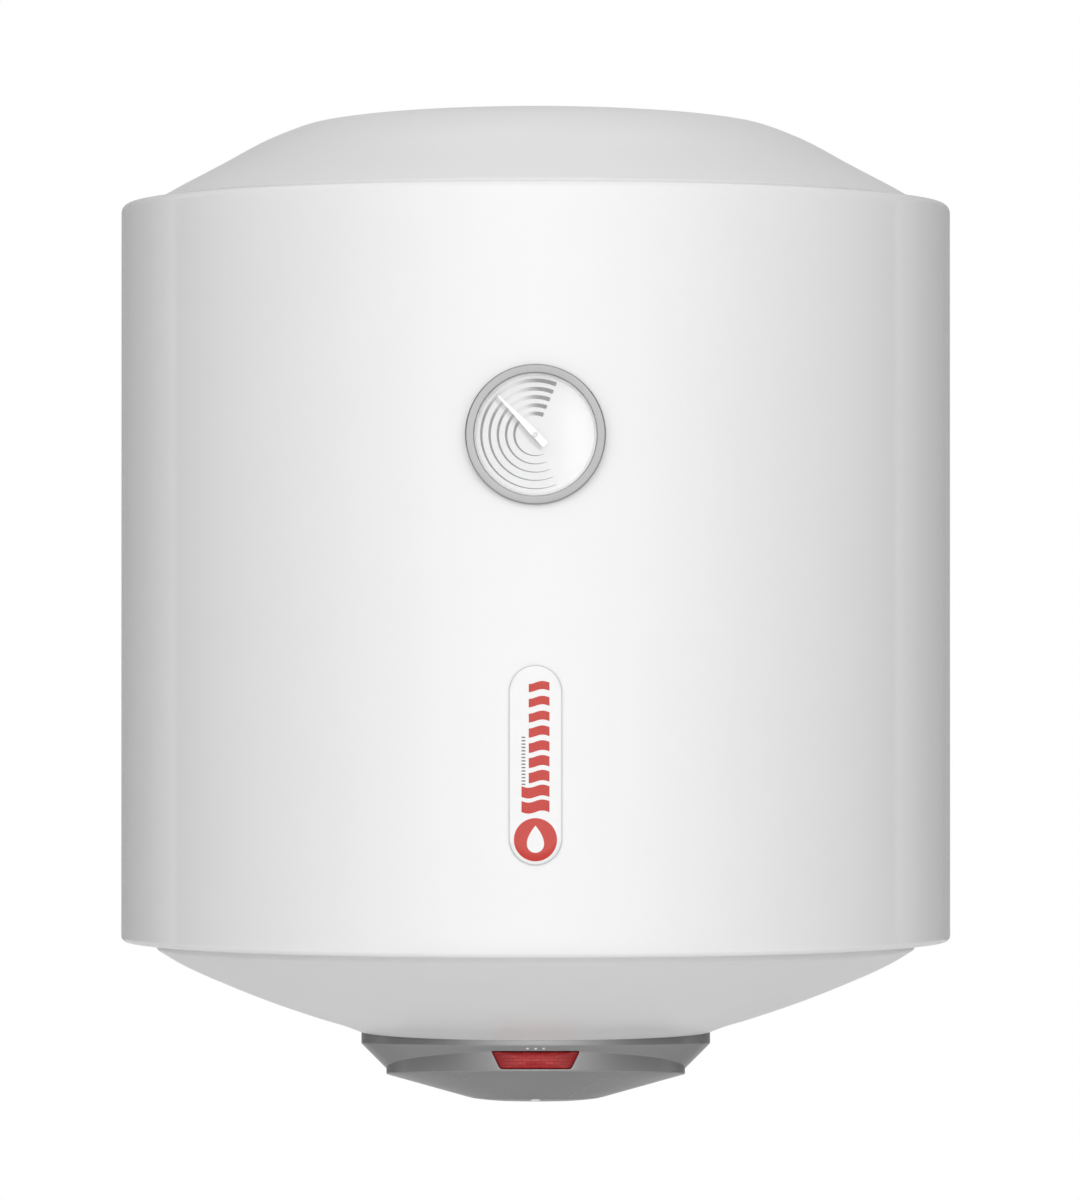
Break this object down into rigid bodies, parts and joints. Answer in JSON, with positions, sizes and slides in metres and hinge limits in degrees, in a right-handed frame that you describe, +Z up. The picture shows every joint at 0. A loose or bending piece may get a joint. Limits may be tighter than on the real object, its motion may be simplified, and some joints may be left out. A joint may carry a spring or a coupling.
{
  "type": "tank water heater",
  "caption": "Wall-hung round electric tank water heater with steel jacket, domed end covers, thermometer, control cover and bottom pipe connections.",
  "frame": {"origin": "centre of the wall bracket's back face, on the wall", "axes": "+Y into the wall, so the front faces -Y; +Z up, along the tank"},
  "size_m": [0.445, 0.4622, 0.5325],
  "materials": {
    "white_enamel": "gloss powder coat",
    "cover_plastic": "satin",
    "control_plastic": "satin",
    "lens_red": "translucent, faceted inside",
    "badge_white": "gloss label",
    "bezel_grey": "satin",
    "dial_white": "satin",
    "gauge_glass": "clear",
    "plated_steel": "zinc plated",
    "tank_steel": "enamel",
    "gasket_rubber": "matte",
    "copper": "drawn tube",
    "magnesium": "cast",
    "cream_plastic": "satin",
    "ring_blue": "satin",
    "ring_red": "satin",
    "polymer_foam": "foamed in place",
    "black_plastic": "satin",
    "button_red": "gloss",
    "board_green": "satin",
    "lamp_glass": "neon lamp",
    "lead_brown": "wire sleeve",
    "lead_blue": "wire sleeve",
    "lead_grey": "wire sleeve"
  },
  "bodies": {
    "heater": {"outer_jacket": "white_enamel", "top_cover": "cover_plastic", "bottom_cover": "cover_plastic", "control_cover": "control_plastic", "indicator_lens": "lens_red", "badge_plate": "badge_white", "gauge_housing": "black_plastic", "gauge_bezel": "bezel_grey", "gauge_dial": "dial_white", "gauge_lens": "gauge_glass", "gauge_coil": "copper", "gauge_capillary": "copper", "gauge_bulb": "copper", "tank_shell": "tank_steel", "tank_top_head": "tank_steel", "tank_bottom_head": "tank_steel", "flange_neck": "tank_steel", "flange_gasket": "gasket_rubber", "element_flange": "plated_steel", "heating_element": "copper", "thermowell": "copper", "anode_rod": "magnesium", "anode_stud": "plated_steel", "cold_inlet_pipe": "plated_steel", "hot_outlet_pipe": "plated_steel", "inlet_diffuser": "cream_plastic", "cold_inlet_ring": "ring_blue", "hot_outlet_ring": "ring_red", "insulation_side": "polymer_foam", "insulation_top": "polymer_foam", "insulation_bottom": "polymer_foam", "wall_bracket": "plated_steel", "lower_standoff": "plated_steel", "thermostat_body": "cream_plastic", "thermostat_probe": "copper", "terminal_block": "cream_plastic", "lamp_board": "board_green", "indicator_lamp_left": "lamp_glass", "indicator_lamp_right": "lamp_glass", "cable_gland": "black_plastic", "gland_nut": "black_plastic", "cover_screw_left": "plated_steel", "cover_screw_right": "plated_steel", "live_lead": "lead_brown", "neutral_lead": "lead_blue", "lamp_lead": "lead_grey", "flange_bolt_1": "plated_steel", "flange_bolt_2": "plated_steel", "flange_bolt_3": "plated_steel", "flange_bolt_4": "plated_steel", "flange_bolt_5": "plated_steel"},
    "pointer": {"gauge_pointer": "dial_white", "gauge_spindle": "plated_steel"},
    "knob": {"temperature_knob": "control_plastic", "knob_index": "dial_white", "thermostat_spindle": "plated_steel"},
    "reset": {"reset_button": "button_red"}
  },
  "joints": [
    {"name": "pointer_turn", "type": "hinge", "parent": "heater", "child": "pointer", "pos_m": [0, -0.4576, -0.0343], "axis": [0, 1, 0], "range_deg": [-158.8, 66.6], "stiffness_Nm_per_rad": 0.002},
    {"name": "knob_turn", "type": "hinge", "parent": "heater", "child": "knob", "pos_m": [0, -0.23774, -0.38418], "axis": [0, 0.0384, 0.9993], "range_deg": [-135, 135]},
    {"name": "reset_push", "type": "slide", "parent": "heater", "child": "reset", "axis": [0, 0, 1], "range_m": [0, 0.002], "stiffness_N_per_m": 400}
  ]
}
